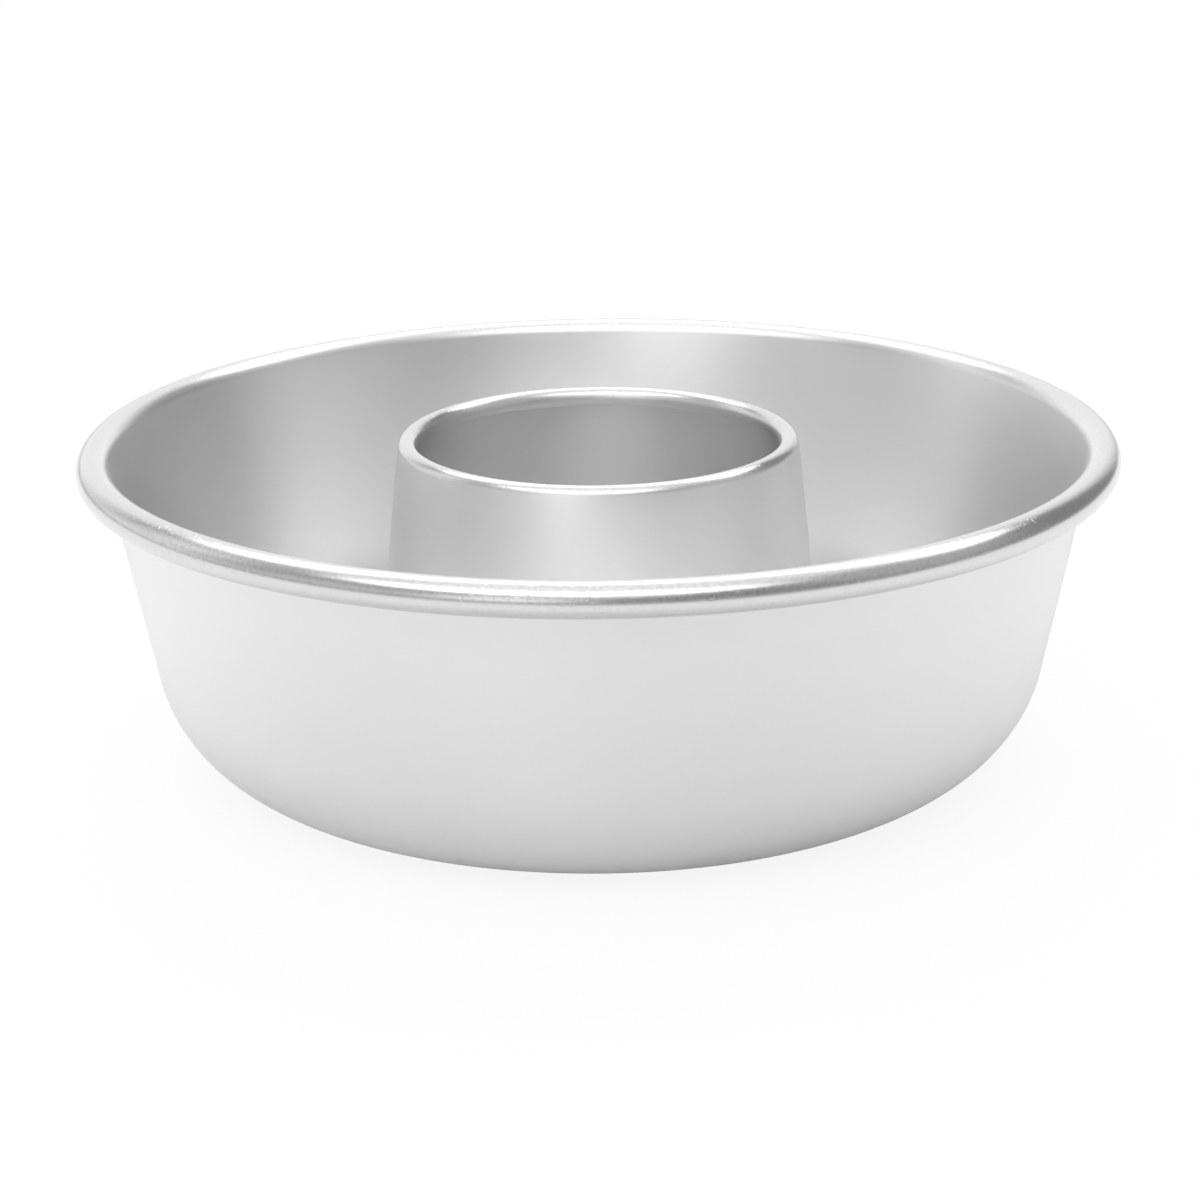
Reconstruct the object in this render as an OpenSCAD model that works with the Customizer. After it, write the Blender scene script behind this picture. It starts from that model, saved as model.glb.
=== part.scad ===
// Ring-shaped cake pan in satin aluminium. A spun shell with a rolled rim carries a
// drawn centre tube, which a folded seam locks to the floor. Both rolled edges hold a wire.
// Millimetres, +Z up. The pan stands on Z = 0 and its axis is Z.

/* [Pan] */
// Outside diameter across the rolled rim
rim_d = 242; // [215:1:270]
// Height from the standing plane to the top of the rolled rim
pan_h = 78.5; // [65:0.5:95]
// Lean of the side wall away from upright, in degrees
wall_taper = 11.253; // [6:0.001:14]
// Outside radius of the rounded corner between wall and floor
corner_r = 31.8; // [22:0.2:33]
// Thickness of the shell's sheet
shell_t = 1.2; // [0.9:0.05:1.3]

/* [Rolled rim] */
// Outside radius of the rolled rim
rim_bead_r = 3.9; // [3.2:0.1:4.6]

/* [Centre tube] */
// Outside diameter across the rolled top of the tube
tube_d = 94; // [80:1:96]
// How far the top of the tube stays below the top of the rim
tube_drop = 0.8; // [0:0.1:10]
// Lean of the tube's wall away from upright, in degrees
tube_taper = 6; // [3:0.25:7]
// Outside radius of the tube's rolled top
tube_bead_r = 2.3; // [2:0.1:3]
// Thickness of the tube's sheet
tube_t = 1; // [0.8:0.05:1.1]

/* [Rolled edges] */
// Slit left where a rolled edge comes back to its own wall
curl_slit = 0.15; // [0.1:0.05:0.3]
// Gap between the butted ends of the wire inside each rolled edge
wire_butt = 1; // [0.4:0.1:3]

/* [Seam under the floor] */
// How far the seam's underside stays above the standing plane
seam_lift = 0.5; // [0.3:0.1:1]
// How far the folded edges of shell and tube overlap
seam_lap = 3; // [2:0.1:3.4]
// Clear gap between sheets that lie against each other, and round each wire
sheet_gap = 0.05; // [0.03:0.01:0.08]
// Level floor left between the seam and the step
step_margin = 0.6; // [0.3:0.1:1]

/* [Hidden] */
$fn = 240;
section_fn = 96;

// Every radius named _mid_r is that of the middle of the sheet, where it bends.
// The rim is rolled outwards about rim_c, and the corner bends about corner_c.
rim_mid_r = rim_bead_r - shell_t / 2;
rim_core_r = rim_bead_r - shell_t;
rim_c = [rim_d / 2 - rim_bead_r, pan_h - rim_bead_r];
corner_mid_r = corner_r - shell_t / 2;
corner_c = [
    rim_c.x - ((rim_c.y - corner_r) * sin(wall_taper) + rim_mid_r + corner_mid_r) / cos(wall_taper),
    corner_r
];
wall_run = (rim_c - corner_c) * [sin(wall_taper), cos(wall_taper)];

// The top of the tube is rolled inwards about tube_c.
tube_mid_r = tube_bead_r - tube_t / 2;
tube_core_r = tube_bead_r - tube_t;
tube_c = [tube_d / 2 - tube_bead_r, pan_h - tube_drop - tube_bead_r];

// The seam is four sheets deep, from below tube, shell, tube and shell, a pitch of lap_r apart.
// The shell's edge folds under itself about fold_c. The tube's foot bends out round that fold,
// runs under it, and folds back in over the shell's edge.
lap_r = (tube_t + shell_t) / 2 + sheet_gap;
foot_mid_r = 2 * lap_r;
foot_z = seam_lift + tube_t / 2;
panel_z = foot_z + 3 * lap_r;
fold_z = foot_z + foot_mid_r;
fold_c = [
    tube_c.x + ((tube_c.y - fold_z) * sin(tube_taper) + tube_mid_r + foot_mid_r) / cos(tube_taper),
    fold_z
];
tube_run = (tube_c - fold_c) * [-sin(tube_taper), cos(tube_taper)];

// The floor rises over the seam in two equal bends, 4 up for every 3 across at its steepest.
step_angle = atan2(4, 3);
floor_z = shell_t / 2;
step_mid_r = (panel_z - floor_z) / 2 / (1 - cos(step_angle));
step_high_x = fold_c.x + seam_lap + lap_r + tube_t / 2 + step_margin;
step_low_x = step_high_x + 2 * step_mid_r * sin(step_angle);

// Sections are drawn by following the middle of the sheet. Each stretch starts where the one
// before it ends, heading along +X, with +Y on its left.

// Key inside the sheet, across the joint with the stretch before, so that the two are one piece
module key(t) {
    square(t / 2, center = true);
}

// Straight stretch of sheet
module run(length, t) {
    key(t);
    translate([0, -t / 2]) square([length, t]);
    translate([length, 0]) children();
}

// Frame at the end of a bend that turns left by a positive angle or right by a negative one
module after_bend(mid_r, angle) {
    side = sign(angle) * mid_r;
    translate([0, side]) rotate(angle) translate([0, -side]) children();
}

// Bent stretch of sheet, cut square at both ends
module bend(mid_r, angle, t) {
    reach = 2 * mid_r + t;
    key(t);
    intersection() {
        translate([0, sign(angle) * mid_r]) difference() {
            circle(r = mid_r + t / 2, $fn = section_fn);
            circle(r = mid_r - t / 2, $fn = section_fn);
        }
        if (abs(angle) > 180) {
            union() {
                translate([0, -reach]) square([reach, 2 * reach]);
                after_bend(mid_r, angle) translate([-reach, -reach]) square([reach, 2 * reach]);
            }
        } else {
            intersection() {
                translate([0, -reach]) square([reach, 2 * reach]);
                after_bend(mid_r, angle) translate([-reach, -reach]) square([reach, 2 * reach]);
            }
        }
    }
    after_bend(mid_r, angle) children();
}

// Rolled edge that comes round until its cut end is one slit away from its own wall
module roll(mid_r, side, t) {
    open_angle = acos((mid_r - t / 2 - curl_slit) / (mid_r + t / 2));
    bend(mid_r, side * (360 - open_angle), t);
}

// Shell from the flat floor outwards: corner, wall and rim rolled outwards
module shell_outer_section() {
    translate([step_low_x, floor_z])
        run(corner_c.x - step_low_x, shell_t)
        bend(corner_mid_r, 90 - wall_taper, shell_t)
        run(wall_run, shell_t)
        roll(rim_mid_r, -1, shell_t);
}

// Shell from the flat floor inwards: step up, raised panel, and the edge folded under
module shell_inner_section() {
    translate([step_low_x, floor_z]) mirror([1, 0])
        bend(step_mid_r, step_angle, shell_t)
        bend(step_mid_r, -step_angle, shell_t)
        run(step_high_x - fold_c.x, shell_t)
        bend(lap_r, -180, shell_t)
        run(seam_lap, shell_t);
}

// Tube from its foot upwards: bend, wall and top rolled inwards
module tube_upper_section() {
    translate([fold_c.x, foot_z]) mirror([1, 0])
        bend(foot_mid_r, 90 - tube_taper, tube_t)
        run(tube_run, tube_t)
        roll(tube_mid_r, -1, tube_t);
}

// Tube from its foot outwards: under the shell's edge and back in over it
module tube_foot_section() {
    translate([fold_c.x, foot_z])
        run(seam_lap, tube_t)
        bend(lap_r, 180, tube_t)
        run(seam_lap, tube_t);
}

// Round wire bent into a ring about the axis, with its butted ends at the back
module ring_wire(centre, r) {
    butt_angle = wire_butt / centre.x * 180 / PI;
    rotate([0, 0, 90 + butt_angle / 2])
        rotate_extrude(angle = 360 - butt_angle)
            translate(centre) circle(r = r, $fn = section_fn);
}

module pan_shell() {
    color("silver") rotate_extrude() {
        shell_outer_section();
        shell_inner_section();
    }
}

module centre_tube() {
    color("silver") rotate_extrude() {
        tube_upper_section();
        tube_foot_section();
    }
}

module rim_wire() {
    color("gray") ring_wire(rim_c, rim_core_r - sheet_gap);
}

module tube_wire() {
    color("gray") ring_wire(tube_c, tube_core_r - sheet_gap);
}

pan_shell();
centre_tube();
rim_wire();
tube_wire();
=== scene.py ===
"""Looks of a ring-shaped cake pan in satin aluminium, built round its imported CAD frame.

The shell and the centre tube are bent sheets, lathed about the pan's axis from the same
folded sections as the solids. Lengths are in metres, angles in degrees unless a name ends
in _rad, and Z is up with the pan standing on Z = 0.
"""

import logging
import math
from dataclasses import dataclass, field
from enum import Enum
from typing import Any, Iterable, Mapping, Sequence

import bpy
import numpy as np
from mathutils import Matrix, Vector


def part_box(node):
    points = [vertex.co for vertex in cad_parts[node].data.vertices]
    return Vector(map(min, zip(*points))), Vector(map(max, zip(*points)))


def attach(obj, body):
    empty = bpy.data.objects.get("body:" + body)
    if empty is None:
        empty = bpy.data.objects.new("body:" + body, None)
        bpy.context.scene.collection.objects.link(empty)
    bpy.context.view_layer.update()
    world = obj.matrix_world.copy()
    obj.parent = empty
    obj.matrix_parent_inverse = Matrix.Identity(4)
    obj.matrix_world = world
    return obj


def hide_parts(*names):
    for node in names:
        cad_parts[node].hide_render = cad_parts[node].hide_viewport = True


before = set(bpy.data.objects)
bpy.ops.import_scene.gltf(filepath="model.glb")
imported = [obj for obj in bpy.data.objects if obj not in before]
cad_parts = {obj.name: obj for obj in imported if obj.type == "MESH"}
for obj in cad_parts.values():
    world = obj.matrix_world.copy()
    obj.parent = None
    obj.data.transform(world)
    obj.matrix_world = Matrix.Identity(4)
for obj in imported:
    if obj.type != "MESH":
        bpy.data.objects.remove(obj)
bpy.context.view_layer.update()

LOG = logging.getLogger("ring_pan")
MM = 0.001
# Mesh attribute that carries the finish, from 0 for satin to 1 for bright
POLISH_NAME = "polish"
# Steps in the rounding of each corner of a cut edge
LIP_STEPS = 3
# Mean of a Noise Texture
NOISE_MEAN = 0.5
# Sockets of a Mix node that mixes colours
MIX_SHARE, MIX_FIRST, MIX_SECOND, MIX_OUT = 0, 6, 7, 2

Point = tuple[float, float]


# Shader building


class Value:
    """A number socket that takes part in Python expressions by adding Math nodes."""

    def __init__(self, graph: "Graph", socket: bpy.types.NodeSocket) -> None:
        """Wraps a socket.

        Args:
            graph: The graph that new nodes are added to.
            socket: An output socket that carries one number.
        """
        self.graph = graph
        self.socket = socket

    def math(self, operation: str, *others: "Value | float", clamp: bool = False) -> "Value":
        """Adds one Math node that starts from this value.

        Args:
            operation: The Math node's operation.
            others: Its second and third inputs, where it has them.
            clamp: Whether the result is kept between 0 and 1.

        Returns:
            The node's result.
        """
        return self.graph.math(operation, self, *others, clamp=clamp)

    def __add__(self, other: "Value | float") -> "Value":
        """Sum."""
        return self.math("ADD", other)

    def __radd__(self, other: float) -> "Value":
        """Sum with a number on the left."""
        return self.math("ADD", other)

    def __sub__(self, other: "Value | float") -> "Value":
        """Difference."""
        return self.math("SUBTRACT", other)

    def __rsub__(self, other: float) -> "Value":
        """Difference from a number on the left."""
        return self.graph.math("SUBTRACT", other, self)

    def __mul__(self, other: "Value | float") -> "Value":
        """Product."""
        return self.math("MULTIPLY", other)

    def __rmul__(self, other: float) -> "Value":
        """Product with a number on the left."""
        return self.math("MULTIPLY", other)

    def __truediv__(self, other: "Value | float") -> "Value":
        """Quotient."""
        return self.math("DIVIDE", other)

    def __rtruediv__(self, other: float) -> "Value":
        """A number divided by this value."""
        return self.graph.math("DIVIDE", other, self)

    def clamped(self) -> "Value":
        """The value kept between 0 and 1."""
        return self.math("ADD", 0.0, clamp=True)

    def ramp(self, low: float, high: float) -> "Value":
        """A smooth step of this value.

        Args:
            low: Where the result is 0.
            high: Where the result is 1. It may lie below low.

        Returns:
            The step, kept between 0 and 1.
        """
        t = ((self - low) / (high - low)).clamped()
        return t * t * (3.0 - 2.0 * t)


class Graph:
    """A node tree being filled."""

    def __init__(self, tree: bpy.types.NodeTree) -> None:
        """Empties a tree.

        Args:
            tree: The node tree of a material or a world.
        """
        self.tree = tree
        tree.nodes.clear()

    def add(
        self,
        kind: str,
        settings: Mapping[str, Any] | None = None,
        inputs: Mapping[str | int, Any] | None = None,
    ) -> bpy.types.Node:
        """Adds one node.

        Args:
            kind: The node's type, without its leading "ShaderNode".
            settings: Properties of the node, set first.
            inputs: Values, wrapped values or sockets by name or index.

        Returns:
            The node.
        """
        node = self.tree.nodes.new("ShaderNode" + kind)
        for name, setting in (settings or {}).items():
            setattr(node, name, setting)
        for key, given in (inputs or {}).items():
            socket = node.inputs[key]
            if isinstance(given, Value):
                self.tree.links.new(given.socket, socket)
            elif isinstance(given, bpy.types.NodeSocket):
                self.tree.links.new(given, socket)
            else:
                socket.default_value = given
        return node

    def math(self, operation: str, *values: Value | float, clamp: bool = False) -> Value:
        """Adds one Math node.

        Args:
            operation: The node's operation.
            values: Its inputs in order.
            clamp: Whether the result is kept between 0 and 1.

        Returns:
            The node's result.
        """
        node = self.add(
            "Math", {"operation": operation, "use_clamp": clamp}, dict(enumerate(values))
        )
        return Value(self, node.outputs[0])

    def split(self, vector: bpy.types.NodeSocket) -> tuple[Value, Value, Value]:
        """The three parts of a vector socket."""
        node = self.add("SeparateXYZ", inputs={"Vector": vector})
        return tuple(Value(self, part) for part in node.outputs)

    def join(self, x: Value | float, y: Value | float, z: Value | float) -> bpy.types.NodeSocket:
        """A vector socket made of three values."""
        return self.add("CombineXYZ", inputs={"X": x, "Y": y, "Z": z}).outputs[0]

    def around_z(
        self, place: bpy.types.NodeSocket, sway: float
    ) -> tuple[bpy.types.NodeSocket, Value]:
        """Coordinates in which a noise with the height as W makes rings about Z.

        Args:
            place: The place in metres.
            sway: How far the rings wander on their way round.

        Returns:
            The coordinates and the height.
        """
        x, y, z = self.split(place)
        radius = (x * x + y * y).math("SQRT")
        return self.join(radius, x / radius * sway, y / radius * sway), z

    def noise(
        self,
        vector: bpy.types.NodeSocket,
        scale: float,
        detail: float = 2.0,
        roughness: float = 0.5,
        w: Value | None = None,
    ) -> Value:
        """Adds a Noise Texture.

        Args:
            vector: Where the noise is read.
            scale: Its scale.
            detail: Its octaves beyond the first.
            roughness: How much the finer octaves count.
            w: A fourth coordinate, or None for plain 3D noise.

        Returns:
            The noise, mostly between 0.3 and 0.7.
        """
        inputs = {"Vector": vector, "Scale": scale, "Detail": detail, "Roughness": roughness}
        if w is not None:
            inputs["W"] = w
        node = self.add("TexNoise", {"noise_dimensions": "3D" if w is None else "4D"}, inputs)
        return Value(self, node.outputs["Fac"])

    def blend(
        self,
        factor: Value | float,
        first: bpy.types.NodeSocket | Sequence[float],
        second: bpy.types.NodeSocket | Sequence[float],
    ) -> bpy.types.NodeSocket:
        """Mixes two colours.

        Args:
            factor: The share of the second.
            first: A colour socket or four numbers.
            second: A colour socket or four numbers.

        Returns:
            The mixed colour.
        """
        inputs = {MIX_SHARE: factor, MIX_FIRST: first, MIX_SECOND: second}
        return self.add("Mix", {"data_type": "RGBA"}, inputs).outputs[MIX_OUT]

    def bump(
        self,
        height: Value,
        distance: float,
        normal: bpy.types.NodeSocket | None = None,
    ) -> bpy.types.NodeSocket:
        """Adds a Bump node.

        Args:
            height: Height from 0 to 1.
            distance: How far a height of 1 stands out, in metres.
            normal: The normal that it is laid over.

        Returns:
            The bumped normal.
        """
        inputs = {"Height": height, "Distance": distance, "Strength": 1.0}
        if normal is not None:
            inputs["Normal"] = normal
        return self.add("Bump", inputs=inputs).outputs["Normal"]


def blank_material(name: str) -> tuple[bpy.types.Material, Graph]:
    """Makes a material with an empty graph.

    Args:
        name: Its name.

    Returns:
        The material and its graph.
    """
    made = bpy.data.materials.new(name)
    made.use_nodes = True
    return made, Graph(made.node_tree)


def grey(level: float) -> tuple[float, float, float, float]:
    """A neutral colour of this level."""
    return (level, level, level, 1.0)


# Finishes


class Polish(Enum):
    """How a stretch of sheet was finished. The value is written into the mesh."""

    SATIN = 0.0
    BRIGHT = 1.0


@dataclass(frozen=True)
class SheetFinish:
    """Satin anodised aluminium whose rolled edges are bright.

    A band is the pair of noise values between which a pattern sets in. A swing is how much
    a pattern moves the roughness, and a share is its part in the height of the bump.

    Attributes:
        name: The material's name.
        level: Grey of the satin sheet.
        bright_level: Grey of the bright edges.
        seed: Shifts every pattern, so that the two sheets differ.
        satin_roughness: Mean roughness of the satin sheet.
        bright_roughness: Mean roughness of the bright edges.
        anisotropy: How much the fine rings left by spinning draw reflections out.
        across: Turn of that drawing out, in full turns, which lays it across the rings.
        ring_scale: Noise scale of the rings left by spinning.
        fine_scale: Noise scale of the finer rings between them.
        ring_sway: How far the rings wander on their way round.
        grain_scale: Noise scale of the satin's grain.
        cloud_scale: Noise scale of the slow unevenness of the satin.
        wrinkle_scale: Noise scale of the stretched skin of the rolled edges.
        pit_scale: Noise scale of the small pits in that skin.
        satin_band: Band of the satin's colour.
        satin_tones: Darkest and lightest satin, as shares of its level.
        wrinkle_band: Band of the bright edges' colour.
        bright_tones: Darkest and lightest bright edge, as shares of its level.
        pit_band: Band of the pits.
        pit_area: Band of the slow unevenness in which the pits lie.
        rub_heights: Heights between which the underside is rubbed by what the pan stands on.
        rub_band: Band of the rings in which it is rubbed.
        rub_tone: Rubbed metal, as a share of the satin's level.
        rub_swing: How much smoother rubbed metal is.
        grain_swing: Swing of the grain.
        ring_swing: Swing of the rings.
        cloud_swing: Swing of the slow unevenness.
        wrinkle_swing: Swing of the wrinkles.
        grain_share: Share of the grain on the satin.
        fine_share: Share of the finer rings on the satin.
        ring_share: Share of the rings on the satin, and of the finer rings on bright edges.
        wrinkle_share: Share of the wrinkles on bright edges.
        pit_share: Share of the pits, which go inwards.
        satin_depth: Depth of the satin's bump, in metres.
        bright_depth: Depth of the bright edges' bump, in metres.
    """

    name: str
    level: float
    bright_level: float
    seed: float
    satin_roughness: float = 0.35
    bright_roughness: float = 0.20
    anisotropy: float = 0.8
    across: float = 0.25
    ring_scale: float = 900.0
    fine_scale: float = 3600.0
    ring_sway: float = 2.0 * MM
    grain_scale: float = 3200.0
    cloud_scale: float = 26.0
    wrinkle_scale: float = 1300.0
    pit_scale: float = 1100.0
    satin_band: Point = (0.3, 0.7)
    satin_tones: Point = (0.985, 1.01)
    wrinkle_band: Point = (0.3, 0.62)
    bright_tones: Point = (0.93, 1.0)
    pit_band: Point = (0.60, 0.72)
    pit_area: Point = (0.45, 0.62)
    rub_heights: Point = (0.3 * MM, 0.05 * MM)
    rub_band: Point = (0.42, 0.58)
    rub_tone: float = 0.8
    rub_swing: float = 0.12
    grain_swing: float = 0.10
    ring_swing: float = 0.08
    cloud_swing: float = 0.05
    wrinkle_swing: float = 0.10
    grain_share: float = 0.6
    fine_share: float = 0.3
    ring_share: float = 0.1
    wrinkle_share: float = 0.5
    pit_share: float = 0.8
    satin_depth: float = 0.012 * MM
    bright_depth: float = 0.03 * MM

    def material(self) -> bpy.types.Material:
        """Builds the material.

        Returns:
            The material.
        """
        made, g = blank_material(self.name)
        place = g.add("TexCoord").outputs["Object"]
        shift = (self.seed, self.seed, self.seed)
        shifted = g.add("VectorMath", {"operation": "ADD"}, {0: place, 1: shift}).outputs[0]
        bright = Value(g, g.add("Attribute", {"attribute_name": POLISH_NAME}).outputs["Fac"])
        satin = 1.0 - bright

        # Rings left by spinning run round the axis, so they follow radius and height.
        turn, z = g.around_z(place, self.ring_sway)
        rings = g.noise(turn, self.ring_scale, detail=3.0, w=z + self.seed)
        fine_rings = g.noise(turn, self.fine_scale, detail=2.0, w=z + self.seed)
        grain = g.noise(shifted, self.grain_scale, detail=2.0, roughness=0.6)
        cloud = g.noise(shifted, self.cloud_scale, detail=3.0)
        wrinkle = g.noise(shifted, self.wrinkle_scale, detail=3.0, roughness=0.62)
        pits = g.noise(shifted, self.pit_scale, detail=1.0).ramp(*self.pit_band)
        pits = pits * cloud.ramp(*self.pit_area)
        rub = z.ramp(*self.rub_heights) * rings.ramp(*self.rub_band)

        darker, lighter = (grey(self.level * tone) for tone in self.satin_tones)
        satin_colour = g.blend((cloud * 0.5 + grain * 0.5).ramp(*self.satin_band), darker, lighter)
        satin_colour = g.blend(rub, satin_colour, grey(self.level * self.rub_tone))
        darker, lighter = (grey(self.bright_level * tone) for tone in self.bright_tones)
        bright_colour = g.blend(wrinkle.ramp(*self.wrinkle_band), darker, lighter)

        satin_rough = self.satin_roughness + (grain - NOISE_MEAN) * self.grain_swing
        satin_rough = satin_rough + (rings - NOISE_MEAN) * self.ring_swing
        satin_rough = satin_rough + (cloud - NOISE_MEAN) * self.cloud_swing
        satin_rough = satin_rough - rub * self.rub_swing
        bright_rough = self.bright_roughness + (wrinkle - NOISE_MEAN) * self.wrinkle_swing

        satin_height = grain * self.grain_share + fine_rings * self.fine_share
        satin_height = (satin_height + rings * self.ring_share) * satin
        bright_height = wrinkle * self.wrinkle_share + fine_rings * self.ring_share
        bright_height = (bright_height - pits * self.pit_share) * bright
        fine = g.bump(satin_height, self.satin_depth)

        surface = g.add(
            "BsdfPrincipled",
            inputs={
                "Base Color": g.blend(bright, satin_colour, bright_colour),
                "Metallic": 1.0,
                "Roughness": (satin_rough * satin + bright_rough * bright).clamped(),
                "Normal": g.bump(bright_height, self.bright_depth, normal=fine),
                "Anisotropic": self.anisotropy,
                "Anisotropic Rotation": self.across,
            },
        )
        g.add("OutputMaterial", inputs={"Surface": surface.outputs[0]})
        return made


@dataclass(frozen=True)
class WireFinish:
    """Plain drawn aluminium wire.

    Attributes:
        name: The material's name.
        level: Grey of the wire.
        roughness: Its mean roughness.
        line_scale: Noise scale of the lines left by drawing.
        line_sway: How far the lines wander on their way round.
        spot_scale: Noise scale of its dull spots.
        line_part: Part of the lines in its colour. The rest is the spots'.
        band: The pair of noise values between which the colour changes.
        tones: Darkest and lightest wire, as shares of its level.
        spot_swing: How much the spots move the roughness.
        line_swing: How much the lines move it.
        depth: Depth of the lines, in metres.
    """

    name: str
    level: float
    roughness: float = 0.42
    line_scale: float = 5200.0
    line_sway: float = 1.0 * MM
    spot_scale: float = 240.0
    line_part: float = 0.6
    band: Point = (0.3, 0.7)
    tones: Point = (0.86, 1.06)
    spot_swing: float = 0.2
    line_swing: float = 0.1
    depth: float = 0.02 * MM

    def material(self) -> bpy.types.Material:
        """Builds the material, with drawing lines that run along the wire.

        Returns:
            The material.
        """
        made, g = blank_material(self.name)
        place = g.add("TexCoord").outputs["Object"]
        along, z = g.around_z(place, self.line_sway)
        lines = g.noise(along, self.line_scale, detail=2.0, w=z)
        spots = g.noise(place, self.spot_scale, detail=3.0)
        mixed = lines * self.line_part + spots * (1.0 - self.line_part)
        darker, lighter = (grey(self.level * tone) for tone in self.tones)
        rough = self.roughness + (spots - NOISE_MEAN) * self.spot_swing
        rough = rough + (lines - NOISE_MEAN) * self.line_swing
        surface = g.add(
            "BsdfPrincipled",
            inputs={
                "Base Color": g.blend(mixed.ramp(*self.band), darker, lighter),
                "Metallic": 1.0,
                "Roughness": rough.clamped(),
                "Normal": g.bump(lines, self.depth),
            },
        )
        g.add("OutputMaterial", inputs={"Surface": surface.outputs[0]})
        return made


# Bent sheets


@dataclass(frozen=True)
class Station:
    """A place on the middle line of a sheet.

    Attributes:
        x: Distance from the axis.
        z: Height.
        heading_rad: Direction in which the line goes on, from +X towards +Z.
        polish: How bright the sheet is there, from 0 for satin to 1 for bright.
    """

    x: float
    z: float
    heading_rad: float
    polish: float

    def beside(self, offset: float) -> Point:
        """The point at this distance to the left of the line."""
        return (
            self.x - math.sin(self.heading_rad) * offset,
            self.z + math.cos(self.heading_rad) * offset,
        )


class SheetPath:
    """The middle line of a sheet, followed stretch by stretch."""

    def __init__(self, start: Point, heading: float, flip: int = 1) -> None:
        """Starts a path.

        Args:
            start: Where it starts, as radius and height.
            heading: Its direction there, from +X towards +Z.
            flip: -1 to bend the other way round, for a path drawn towards the axis.
        """
        self.flip = flip
        self.stations = [Station(*start, math.radians(heading), Polish.SATIN.value)]

    def run(self, length: float, steps: int) -> "SheetPath":
        """Goes straight on, in the satin finish.

        Args:
            length: How far.
            steps: Into how many equal parts the stretch is cut.

        Returns:
            The path itself.
        """
        here = self.stations[-1]
        for i in range(1, steps + 1):
            part = length * i / steps
            self.stations.append(
                Station(
                    here.x + math.cos(here.heading_rad) * part,
                    here.z + math.sin(here.heading_rad) * part,
                    here.heading_rad,
                    Polish.SATIN.value,
                )
            )
        return self

    def bend(
        self,
        radius: float,
        angle: float,
        step: float,
        polish: Polish = Polish.SATIN,
        fade: float = 0.0,
    ) -> "SheetPath":
        """Bends the line about a centre beside it.

        Args:
            radius: Radius of the middle line.
            angle: How far it turns, positive to the left.
            step: Largest turn between two stations.
            polish: Finish of the stretch.
            fade: Turn over which the sheet passes from the finish before it to this one.

        Returns:
            The path itself.
        """
        here = self.stations[-1]
        turn = math.radians(angle * self.flip)
        side = math.copysign(radius, turn)
        centre = here.beside(side)
        steps = max(1, math.ceil(abs(angle) / step))
        for i in range(1, steps + 1):
            heading = here.heading_rad + turn * i / steps
            passed = min(1.0, abs(angle) * i / steps / fade) if fade else 1.0
            self.stations.append(
                Station(
                    centre[0] + math.sin(heading) * side,
                    centre[1] - math.cos(heading) * side,
                    heading,
                    here.polish + (polish.value - here.polish) * passed,
                )
            )
        return self

    def turned_back(self) -> list[Station]:
        """The stations from the end to the start, heading the other way."""
        return [
            Station(s.x, s.z, s.heading_rad + math.pi, s.polish) for s in reversed(self.stations)
        ]


@dataclass
class Section:
    """The closed outline of a sheet's section.

    Attributes:
        points: Radius and height of each corner, in order.
        polish: The finish value at each corner.
    """

    points: list[Point] = field(default_factory=list)
    polish: list[float] = field(default_factory=list)

    def put(self, point: Point, polish: float) -> None:
        """Adds a corner."""
        self.points.append(point)
        self.polish.append(polish)

    @classmethod
    def around(cls, stations: Sequence[Station], thickness: float, lip: float) -> "Section":
        """Draws the outline of a sheet round its middle line.

        Args:
            stations: The middle line from end to end.
            thickness: Thickness of the sheet.
            lip: Radius to which the two cut edges are broken.

        Returns:
            The outline, with the sheet's right side first.
        """
        made = cls()
        half = thickness / 2.0
        for s in stations:
            made.put(s.beside(-half), s.polish)
        made._cap(stations[-1], half, lip)
        for s in reversed(stations):
            made.put(s.beside(half), s.polish)
        first = stations[0]
        back = Station(first.x, first.z, first.heading_rad + math.pi, first.polish)
        made._cap(back, half, lip)
        return made

    def _cap(self, end: Station, half: float, lip: float) -> None:
        """Rounds the cut edge at an end, inside the sheet's own length.

        Args:
            end: The last station, heading outwards.
            half: Half the thickness.
            lip: Radius of the rounding.
        """
        self.points[-1] = self._slid(end, -half, -lip)
        for side in (-1.0, 1.0):
            for i in range(1, LIP_STEPS + 1):
                part = i / LIP_STEPS if side < 0 else 1.0 - i / LIP_STEPS
                turn = math.pi / 2.0 * part
                across = side * (half - lip * (1.0 - math.cos(turn)))
                self.put(self._slid(end, across, lip * (math.sin(turn) - 1.0)), end.polish)

    @staticmethod
    def _slid(end: Station, across: float, along: float) -> Point:
        """A point beside a station and a little further along its heading."""
        x, z = end.beside(across)
        return (
            x + math.cos(end.heading_rad) * along,
            z + math.sin(end.heading_rad) * along,
        )


@dataclass(frozen=True)
class RollSway:
    """Slight unevenness of an edge that was rolled by hand over its wire.

    Attributes:
        depth: The most that the edge departs from its circle.
        seed: Seed of the waves' phases.
        waves: How many waves of each kind run round the edge.
    """

    depth: float
    seed: int
    waves: Sequence[int] = (3, 7, 13, 29, 53)

    def shifts(self, angles: np.ndarray, polish: np.ndarray) -> np.ndarray:
        """Shifts of every corner at every angle, inwards and downwards only.

        Args:
            angles: The angles round the axis.
            polish: Each corner's finish, 1 on the rolled edge.

        Returns:
            Radial and vertical shifts, of shape angles by corners by 2.
        """
        rng = np.random.default_rng(self.seed)
        total = np.zeros((2, len(angles)))
        for wave in self.waves:
            phase = rng.uniform(0.0, 2.0 * math.pi, 2)
            total += np.sin(wave * angles[None, :] + phase[:, None]) / math.sqrt(wave)
        total /= sum(1.0 / math.sqrt(wave) for wave in self.waves)
        dents = -self.depth * (1.0 - total) / 2.0
        return dents.T[:, None, :] * polish[None, :, None]


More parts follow.
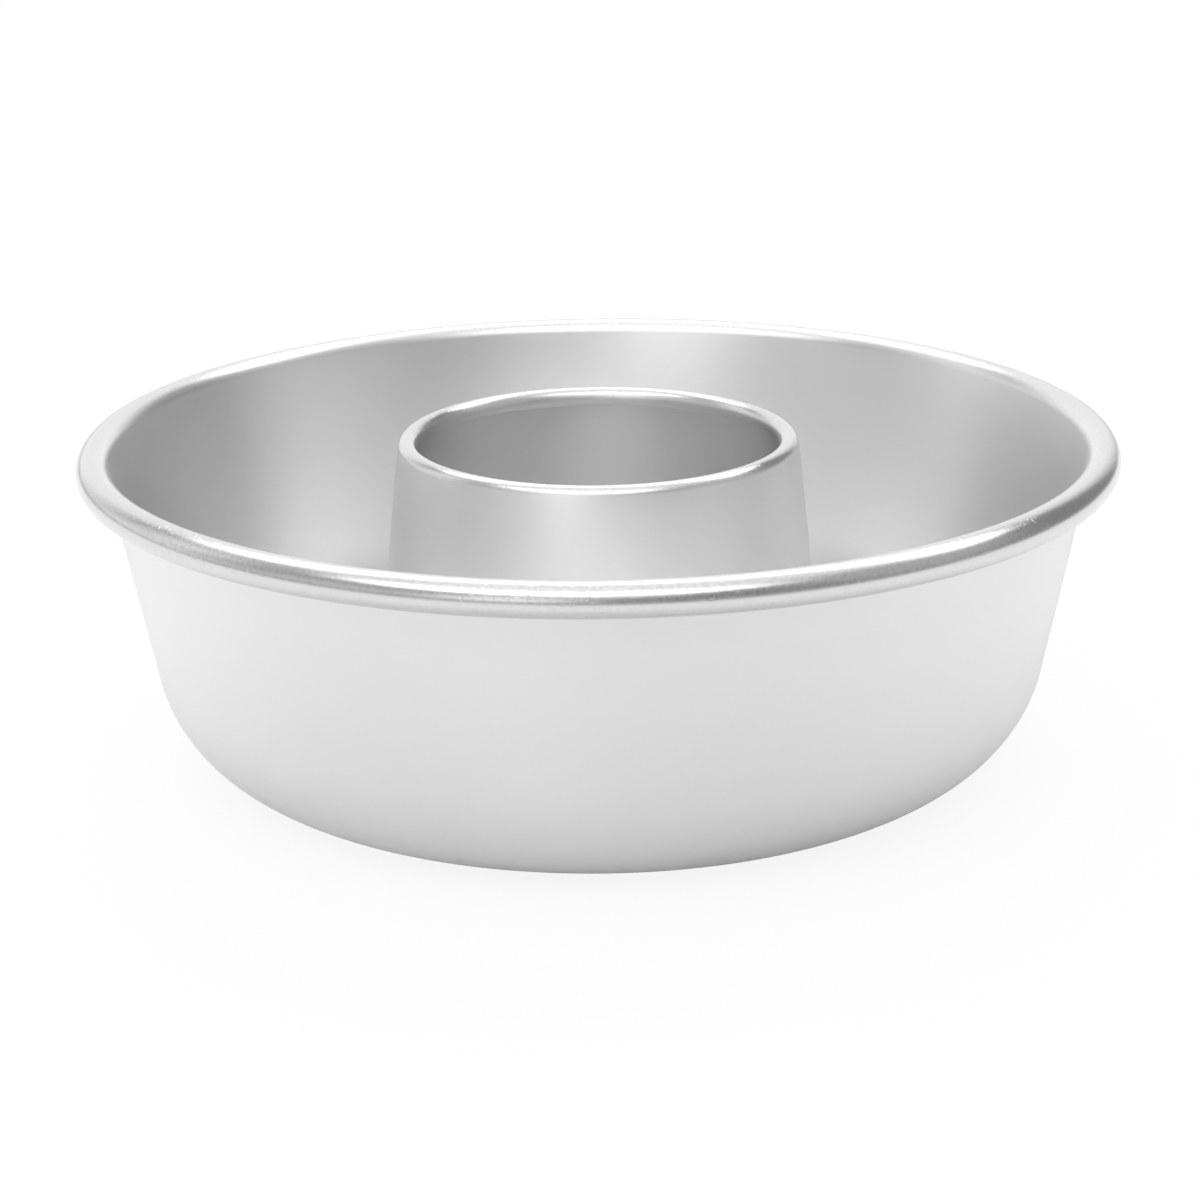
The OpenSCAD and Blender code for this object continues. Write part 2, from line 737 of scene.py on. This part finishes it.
def lathe(name: str, section: Section, steps: int, sway: RollSway) -> bpy.types.Object:
    """Turns a closed section about Z into a smooth mesh.

    Args:
        name: Name of the new object.
        section: The outline.
        steps: How many times it stands round the axis.
        sway: Unevenness of the rolled edge.

    Returns:
        The object, linked to the scene, at the origin.
    """
    outline = np.array(section.points)
    polish = np.array(section.polish)
    angles = np.linspace(0.0, 2.0 * math.pi, steps, endpoint=False)
    shift = sway.shifts(angles, polish)
    radius = outline[None, :, 0] + shift[:, :, 0]
    height = outline[None, :, 1] + shift[:, :, 1]
    places = np.stack(
        [radius * np.cos(angles)[:, None], radius * np.sin(angles)[:, None], height], axis=-1
    ).reshape(-1, 3)
    count = len(outline)
    here = np.arange(steps)[:, None] * count + np.arange(count)[None, :]
    ahead = np.roll(here, -1, axis=0)
    quads = np.stack(
        [here, ahead, np.roll(ahead, -1, axis=1), np.roll(here, -1, axis=1)], axis=-1
    ).reshape(-1, 4)
    mesh = bpy.data.meshes.new(name)
    mesh.from_pydata(places.tolist(), [], quads.tolist())
    mesh.polygons.foreach_set("use_smooth", [True] * len(mesh.polygons))
    attribute = mesh.attributes.new(POLISH_NAME, "FLOAT", "POINT")
    attribute.data.foreach_set("value", np.tile(polish, steps).astype(np.float32))
    mesh.update()
    made = bpy.data.objects.new(name, mesh)
    bpy.context.scene.collection.objects.link(made)
    return made


# Pieces


@dataclass(frozen=True)
class Fineness:
    """How finely a sheet's middle line is cut.

    Attributes:
        wall: Parts of its straight wall.
        bend: Largest turn between two places in its wide bends.
        roll: Largest such turn in its rolled edge.
        fold: Largest such turn in its tight folds.
    """

    wall: int
    bend: float
    roll: float
    fold: float = 15.0


def rolled_turn(mid_r: float, thickness: float, slit: float) -> float:
    """Turn of a rolled edge whose cut end stops one slit away from its own wall.

    Args:
        mid_r: Radius of the middle of the rolled sheet.
        thickness: Thickness of the sheet.
        slit: The slit.

    Returns:
        The turn.
    """
    half = thickness / 2.0
    return 360.0 - math.degrees(math.acos((mid_r - half - slit) / (mid_r + half)))


@dataclass(frozen=True)
class Seam:
    """Folded seam that locks the tube to the shell, four sheets deep.

    Attributes:
        shell_t: Thickness of the shell's sheet.
        tube_t: Thickness of the tube's sheet.
        gap: Gap between sheets that lie on each other.
        lift: Height of the seam's underside.
        lap: Overlap of the folded edges.
        margin: Level floor between the seam and the step.
    """

    shell_t: float = 1.2 * MM
    tube_t: float = 1.0 * MM
    gap: float = 0.05 * MM
    lift: float = 0.5 * MM
    lap: float = 3.0 * MM
    margin: float = 0.6 * MM

    @property
    def pitch(self) -> float:
        """Distance between the middles of two sheets that lie on each other."""
        return (self.tube_t + self.shell_t) / 2.0 + self.gap

    @property
    def foot_z(self) -> float:
        """Height of the middle of the tube's foot."""
        return self.lift + self.tube_t / 2.0

    @property
    def panel_z(self) -> float:
        """Height of the middle of the raised floor."""
        return self.foot_z + 3.0 * self.pitch

    @property
    def fold_z(self) -> float:
        """Height of the centre of the shell's fold."""
        return self.foot_z + 2.0 * self.pitch


@dataclass
class CentreTube:
    """Tapered tube with its top rolled inwards and its foot folded into the seam.

    Attributes:
        seam: The seam at its foot.
        top: Height of its top.
        outer_r: Radius across the rolled top.
        taper: Lean of the wall.
        bead_r: Outside radius of the roll.
        slit: Slit left where the roll comes back to the wall.
        lip: Radius to which the cut edges are broken.
        bright_from: Turn in the roll over which its finish becomes bright.
        bright_to: Turn in the roll at which it starts to be satin again.
        satin_from: Turn after that over which it becomes satin.
        sway: Unevenness of the roll.
        steps: Steps round the axis.
        fine: How finely its section is cut.
    """

    seam: Seam
    top: float
    outer_r: float = 47.0 * MM
    taper: float = 6.0
    bead_r: float = 2.3 * MM
    slit: float = 0.15 * MM
    lip: float = 0.12 * MM
    bright_from: float = 45.0
    bright_to: float = 130.0
    satin_from: float = 25.0
    sway: RollSway = RollSway(0.05 * MM, 11)
    steps: int = 336
    fine: Fineness = Fineness(wall=12, bend=7.0, roll=7.0)

    @property
    def roll_r(self) -> float:
        """Radius of the middle of the rolled sheet."""
        return self.bead_r - self.seam.tube_t / 2.0

    @property
    def bead(self) -> Point:
        """Centre of the roll, as radius and height."""
        return (self.outer_r - self.bead_r, self.top - self.bead_r)

    @property
    def fold_x(self) -> float:
        """Radius of the centre of the fold at its foot."""
        lean = math.radians(self.taper)
        drop = self.bead[1] - self.seam.fold_z
        reach = drop * math.sin(lean) + self.roll_r + 2.0 * self.seam.pitch
        return self.bead[0] + reach / math.cos(lean)

    @property
    def run(self) -> float:
        """Length of the straight wall."""
        lean = math.radians(self.taper)
        across = self.fold_x - self.bead[0]
        drop = self.bead[1] - self.seam.fold_z
        return drop * math.cos(lean) + across * math.sin(lean)

    def build(self) -> bpy.types.Object:
        """Builds the tube's mesh.

        Returns:
            The tube.
        """
        t = self.seam.tube_t
        start = (self.fold_x, self.seam.foot_z)
        rest = rolled_turn(self.roll_r, t, self.slit) - self.bright_to
        upper = SheetPath(start, 180.0, flip=-1)
        upper.bend(2.0 * self.seam.pitch, 90.0 - self.taper, self.fine.bend)
        upper.run(self.run, self.fine.wall)
        upper.bend(
            self.roll_r, -self.bright_to, self.fine.roll, Polish.BRIGHT, fade=self.bright_from
        )
        upper.bend(self.roll_r, -rest, self.fine.roll, fade=self.satin_from)
        foot = SheetPath(start, 0.0)
        foot.run(self.seam.lap, 1)
        foot.bend(self.seam.pitch, 180.0, self.fine.fold)
        foot.run(self.seam.lap, 1)
        section = Section.around(foot.turned_back() + upper.stations[1:], t, self.lip)
        return lathe("tube_sheet", section, self.steps, self.sway)

    def dress(self, made: bpy.types.Object, finish: SheetFinish) -> None:
        """Gives the tube its finish and its place in the frame.

        Args:
            made: The tube.
            finish: Its finish.
        """
        made.data.materials.append(finish.material())
        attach(made, "root")
        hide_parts("centre_tube")


@dataclass
class PanShell:
    """Side wall, rounded corner and floor in one sheet, with its rim rolled outwards.

    Attributes:
        seam: The seam at its inner edge.
        fold_x: Radius of the centre of the fold at its inner edge.
        rim_r: Radius across the rolled rim.
        height: Height of the pan.
        taper: Lean of the wall.
        corner_r: Outside radius of the corner.
        bead_r: Outside radius of the rolled rim.
        slit: Slit left where the roll comes back to the wall.
        lip: Radius to which the cut edges are broken.
        bright_from: Turn in the roll over which its finish becomes bright.
        step_rise: Rise and run of the floor where it is steepest beside the seam.
        sway: Unevenness of the roll.
        steps: Steps round the axis.
        fine: How finely its section is cut.
    """

    seam: Seam
    fold_x: float
    rim_r: float
    height: float
    taper: float = 11.253
    corner_r: float = 31.8 * MM
    bead_r: float = 3.9 * MM
    slit: float = 0.15 * MM
    lip: float = 0.15 * MM
    bright_from: float = 75.0
    step_rise: Point = (4.0, 3.0)
    sway: RollSway = RollSway(0.06 * MM, 5)
    steps: int = 448
    fine: Fineness = Fineness(wall=10, bend=2.8, roll=6.0)

    @property
    def roll_r(self) -> float:
        """Radius of the middle of the rolled sheet."""
        return self.bead_r - self.seam.shell_t / 2.0

    @property
    def bead(self) -> Point:
        """Centre of the roll, as radius and height."""
        return (self.rim_r - self.bead_r, self.height - self.bead_r)

    @property
    def corner_x(self) -> float:
        """Radius of the centre of the corner."""
        lean = math.radians(self.taper)
        drop = self.bead[1] - self.corner_r
        bend_r = self.corner_r - self.seam.shell_t / 2.0
        return self.bead[0] - (drop * math.sin(lean) + self.roll_r + bend_r) / math.cos(lean)

    @property
    def wall_run(self) -> float:
        """Length of the straight wall."""
        lean = math.radians(self.taper)
        across = self.bead[0] - self.corner_x
        drop = self.bead[1] - self.corner_r
        return across * math.sin(lean) + drop * math.cos(lean)

    def build(self) -> bpy.types.Object:
        """Builds the shell's mesh.

        Returns:
            The shell.
        """
        t = self.seam.shell_t
        slope_rad = math.atan2(*self.step_rise)
        slope = math.degrees(slope_rad)
        step_r = (self.seam.panel_z - t / 2.0) / 2.0 / (1.0 - math.cos(slope_rad))
        seam_end = self.fold_x + self.seam.lap + self.seam.pitch + self.seam.tube_t / 2.0
        high_x = seam_end + self.seam.margin
        low_x = high_x + 2.0 * step_r * math.sin(slope_rad)
        start = (low_x, t / 2.0)
        outer = SheetPath(start, 0.0)
        outer.run(self.corner_x - low_x, 2)
        outer.bend(self.corner_r - t / 2.0, 90.0 - self.taper, self.fine.bend)
        outer.run(self.wall_run, self.fine.wall)
        turn = rolled_turn(self.roll_r, t, self.slit)
        outer.bend(self.roll_r, -turn, self.fine.roll, Polish.BRIGHT, fade=self.bright_from)
        inner = SheetPath(start, 180.0, flip=-1)
        inner.bend(step_r, slope, self.fine.roll).bend(step_r, -slope, self.fine.roll)
        inner.run(high_x - self.fold_x, 2)
        inner.bend(self.seam.pitch, -180.0, self.fine.fold).run(self.seam.lap, 1)
        section = Section.around(inner.turned_back() + outer.stations[1:], t, self.lip)
        return lathe("shell_sheet", section, self.steps, self.sway)

    def dress(self, made: bpy.types.Object, finish: SheetFinish) -> None:
        """Gives the shell its finish and its place in the frame.

        Args:
            made: The shell.
            finish: Its finish.
        """
        made.data.materials.append(finish.material())
        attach(made, "root")
        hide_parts("pan_shell")


@dataclass
class EdgeWires:
    """The two CAD wires inside the rolled edges, which keep their shapes.

    Attributes:
        nodes: Names of their CAD nodes.
    """

    nodes: Sequence[str] = ("rim_wire", "tube_wire")

    def dress(self, finish: WireFinish) -> None:
        """Gives both wires their finish.

        Args:
            finish: The wires' finish.
        """
        made = finish.material()
        for name in self.nodes:
            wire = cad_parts[name]
            wire.data.materials.clear()
            wire.data.materials.append(made)


# Studio


@dataclass(frozen=True)
class Panel:
    """A soft round panel, seen in the surroundings from the pan.

    Attributes:
        azimuth: Where its middle stands, 0 behind the pan, positive to the right.
        elevation: How high its middle is.
        level: Its brightness, where 1 is white.
        inner: Angle from its middle within which it has its full level.
        outer: Angle from its middle where it has faded out.
    """

    azimuth: float
    elevation: float
    level: float
    inner: float
    outer: float

    def share(self, g: Graph, look: bpy.types.NodeSocket) -> Value:
        """Works out how much of the panel a ray sees.

        Args:
            g: The world's graph.
            look: Direction of the ray.

        Returns:
            The share, from 0 outside the panel to 1 in its middle.
        """
        around, up = math.radians(self.azimuth), math.radians(self.elevation)
        middle = (
            math.sin(around) * math.cos(up),
            math.cos(around) * math.cos(up),
            math.sin(up),
        )
        dot = g.add("VectorMath", {"operation": "DOT_PRODUCT"}, {0: look, 1: middle})
        away = Value(g, dot.outputs["Value"]).math("ARCCOSINE") * (180.0 / math.pi)
        return ((self.outer - away) / (self.outer - self.inner)).clamped()

    def over(self, g: Graph, look: bpy.types.NodeSocket, under: Value | float) -> Value:
        """Lays the panel over what is behind it.

        Args:
            g: The world's graph.
            look: Direction of the ray.
            under: Brightness of what is behind.

        Returns:
            The brightness with the panel.
        """
        return under + self.share(g, look) * (self.level - under)


@dataclass
class Studio:
    """A pale floor with a painted pool of light round the pan, in a dim room lit by a pale
    backdrop and soft panels.

    Attributes:
        floor_half: Half the floor's side.
        floor_drop: How far the floor lies under the pan.
        floor_level: Grey of the floor inside the painted pool of light round the pan.
        painted_shade_level: Grey of the floor further off, painted shade that the pan's
            reflections show.
        painted_pool_y: How far behind the pan the middle of the painted pool of light lies.
        near_r: Distance from that middle at which the painted shade sets in.
        far_r: Distance at which the painted shade is full.
        camera_share: How much of what the camera sees of the floor is plain white.
        walls: Brightness of the room between the panels.
        backdrop: The pale backdrop behind the pan, plain white in metal and glass.
        panels: The panels, each laid over those before it. Dim ones work as scrims.
    """

    floor_half: float = 8.0
    floor_drop: float = 0.2 * MM
    floor_level: float = 0.89
    painted_shade_level: float = 0.32
    painted_pool_y: float = 0.45
    near_r: float = 0.79
    far_r: float = 0.90
    camera_share: float = 0.88
    walls: float = 0.26
    backdrop: Panel = Panel(-7.0, 15.0, 0.92, 20.0, 43.0)
    panels: Sequence[Panel] = (
        Panel(-122.0, -2.0, 0.62, 16.0, 36.0),
        Panel(-68.0, -6.0, 0.88, 18.0, 43.0),
        Panel(-160.0, 9.0, 1.15, 7.0, 24.0),
        Panel(178.0, 38.0, 0.65, 8.0, 22.0),
        Panel(0.0, 90.0, 3.30, 44.0, 53.0),
        Panel(0.0, 90.0, 1.00, 26.0, 38.0),
        Panel(104.0, 58.0, 0.90, 12.0, 32.0),
        Panel(106.0, 30.0, 0.46, 18.0, 36.0),
        Panel(-82.0, 40.0, 0.50, 14.0, 36.0),
        Panel(-74.0, 27.0, 0.90, 5.0, 20.0),
    )

    def build_floor(self) -> None:
        """Lays the floor just under the pan."""
        h, z = self.floor_half, -self.floor_drop
        mesh = bpy.data.meshes.new("floor")
        mesh.from_pydata([(-h, -h, z), (h, -h, z), (h, h, z), (-h, h, z)], [], [(0, 1, 2, 3)])
        floor = bpy.data.objects.new("floor", mesh)
        bpy.context.scene.collection.objects.link(floor)
        made, g = blank_material("floor_white")
        seen = Value(g, g.add("LightPath").outputs["Is Camera Ray"])
        x, y, _ = g.split(g.add("TexCoord").outputs["Object"])
        # The floor's own colour is a painted pool of light: pale round a middle behind the pan,
        # fading to painted shade further off. The pan's reflections and the light the floor throws
        # back show it, while the camera sees plain white.
        back = y - self.painted_pool_y
        painted_falloff = (x * x + back * back).math("SQRT").ramp(self.near_r, self.far_r)
        lit = g.blend(painted_falloff, grey(self.floor_level), grey(self.painted_shade_level))
        colour = g.blend(seen, lit, grey(1.0))
        matt = g.add("BsdfDiffuse", inputs={"Color": colour})
        white = g.add("Emission", inputs={"Color": grey(1.0), "Strength": 1.0})
        share = seen * self.camera_share
        mixed = g.add("MixShader", inputs={0: share, 1: matt.outputs[0], 2: white.outputs[0]})
        g.add("OutputMaterial", inputs={"Surface": mixed.outputs[0]})
        mesh.materials.append(made)

    def build_world(self) -> None:
        """Surrounds the pan with room, backdrop and panels, all white to the camera."""
        world = bpy.data.worlds.new("studio")
        bpy.context.scene.world = world
        world.use_nodes = True
        g = Graph(world.node_tree)
        look = g.add("TexCoord").outputs["Generated"]
        path = g.add("LightPath").outputs
        seen = Value(g, path["Is Camera Ray"])
        mirrored = Value(g, path["Is Glossy Ray"]) + Value(g, path["Is Transmission Ray"])
        shade = self.backdrop.over(g, look, self.walls)
        white = mirrored.clamped() * self.backdrop.share(g, look)
        shade = shade + white * (1.0 - shade)
        for panel in self.panels:
            shade = panel.over(g, look, shade)
        strength = shade + seen * (1.0 - shade)
        light = g.add("Background", inputs={"Color": grey(1.0), "Strength": strength})
        g.add("OutputWorld", inputs={"Surface": light.outputs[0]})

    def build(self) -> None:
        """Builds floor and surroundings."""
        self.build_floor()
        self.build_world()


@dataclass(frozen=True)
class ViewPoint:
    """The camera, fitted to the photograph's outlines.

    Attributes:
        distance: How far it stands in front of the axis.
        height: Its height above the floor.
        pitch_rad: How far it looks up.
        roll_rad: Its roll.
        lens: Focal length in millimetres.
        sensor: Width of the sensor in millimetres.
        clip: Nearest and furthest distance that it sees.
    """

    distance: float = 0.7166
    height: float = 0.2679
    pitch_rad: float = -0.3120
    roll_rad: float = -0.0123
    lens: float = 94.99
    sensor: float = 36.0
    clip: Point = (0.05, 50.0)

    def build(self) -> bpy.types.Object:
        """Makes the scene's camera.

        Returns:
            The camera.
        """
        data = bpy.data.cameras.new("camera")
        data.lens = self.lens
        data.sensor_width = self.sensor
        data.clip_start, data.clip_end = self.clip
        camera = bpy.data.objects.new("camera", data)
        bpy.context.scene.collection.objects.link(camera)
        look = Vector((0.0, math.cos(self.pitch_rad), math.sin(self.pitch_rad)))
        right = look.cross(Vector((0.0, 0.0, 1.0))).normalized()
        up = right.cross(look)
        across = math.cos(self.roll_rad) * right + math.sin(self.roll_rad) * up
        upward = math.cos(self.roll_rad) * up - math.sin(self.roll_rad) * right
        turn = Matrix((across, upward, -look)).transposed().to_4x4()
        camera.matrix_world = Matrix.Translation((0.0, -self.distance, self.height)) @ turn
        bpy.context.scene.camera = camera
        return camera


def main() -> None:
    logging.basicConfig(level=logging.INFO, format="%(name)s: %(message)s")
    bpy.context.scene.view_settings.view_transform = "Standard"
    ViewPoint().build()
    LOG.info("camera in place")
    Studio().build()
    LOG.info("studio in place")

    shell_low, shell_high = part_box("pan_shell")
    tube_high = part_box("centre_tube")[1]
    seam = Seam()
    tube = CentreTube(seam, top=tube_high.z)
    tube_piece = tube.build()
    tube.dress(tube_piece, SheetFinish("satin_tube", level=0.88, bright_level=0.78, seed=7.3))
    LOG.info("centre tube: %d faces", len(tube_piece.data.polygons))
    rim_r = min(shell_high.x, shell_high.y, -shell_low.x, -shell_low.y)
    shell = PanShell(seam, tube.fold_x, rim_r=rim_r, height=shell_high.z)
    shell_piece = shell.build()
    shell.dress(shell_piece, SheetFinish("satin_shell", level=0.89, bright_level=0.78, seed=2.1))
    LOG.info("pan shell: %d faces", len(shell_piece.data.polygons))
    EdgeWires().dress(WireFinish("drawn_wire", level=0.62))
    LOG.info("edge wires dressed")


if __name__ == "__main__":
    main()
